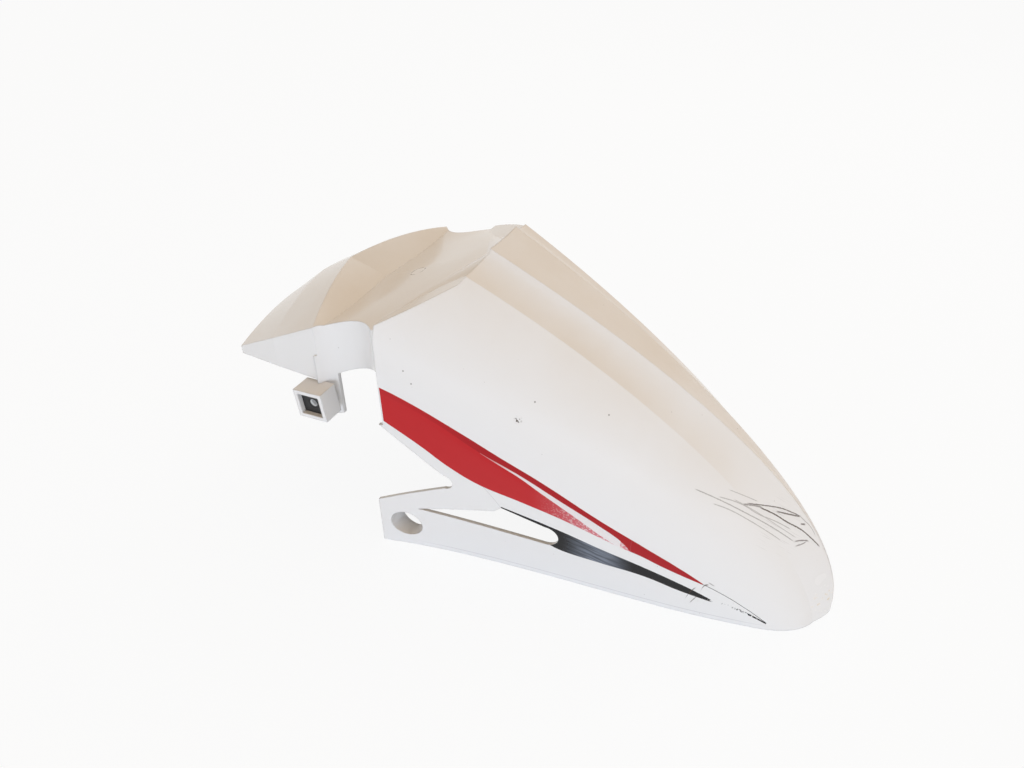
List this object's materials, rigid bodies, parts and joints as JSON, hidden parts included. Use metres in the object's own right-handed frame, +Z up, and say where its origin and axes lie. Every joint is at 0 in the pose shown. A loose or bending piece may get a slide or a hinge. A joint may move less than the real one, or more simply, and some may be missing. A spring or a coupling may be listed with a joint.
{
  "type": "motor scooter front mudguard",
  "caption": "Front mudguard of a motor scooter: a moulded hood with side arms, fork recesses, a stepped tail and clip nuts for its side screws, painted white with red and black stripes.",
  "frame": {"origin": "on the level of the lower edges, half way between nose and tail and between the sides", "axes": "+X towards the nose, +Y towards the rider's left, +Z up"},
  "size_m": [0.4783, 0.214, 0.2476],
  "materials": {
    "painted_shell": "white gloss paint with red and black film stripes, scratched at the nose",
    "clip": "black finished spring steel"
  },
  "bodies": {
    "root": {"mudguard": "painted_shell", "clip_nut_right": "clip", "clip_nut_left": "clip"}
  },
  "joints": []
}
